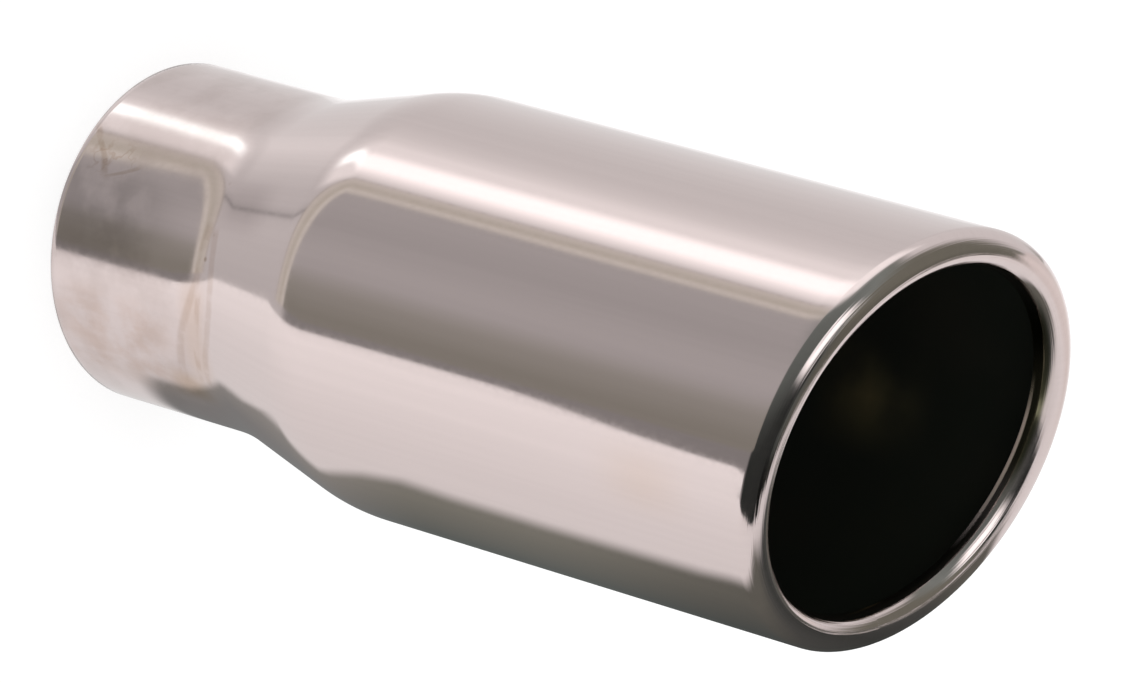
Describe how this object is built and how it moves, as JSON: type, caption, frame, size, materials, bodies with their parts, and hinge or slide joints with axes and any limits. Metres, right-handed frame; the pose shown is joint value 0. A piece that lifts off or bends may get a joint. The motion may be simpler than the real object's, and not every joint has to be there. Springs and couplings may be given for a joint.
{
  "type": "exhaust tip",
  "caption": "Polished steel exhaust tip: round slip-on inlet neck, flared shoulder, round body and a slash-cut outlet with its edge rolled inwards.",
  "frame": {"origin": "centre of the inlet's end face, on which the tip stands", "axes": "+Z along the tube's axis, from the inlet to the outlet; -X towards the long side of the slashed mouth, which is the top when fitted"},
  "size_m": [0.0762, 0.0762, 0.1835],
  "materials": {
    "polished_steel": "Polished stainless steel with a faint warm tint, light handling smudges and fine scratches; dull soot-black inside."
  },
  "bodies": {
    "root": {"exhaust_tip": "polished_steel"}
  },
  "joints": []
}
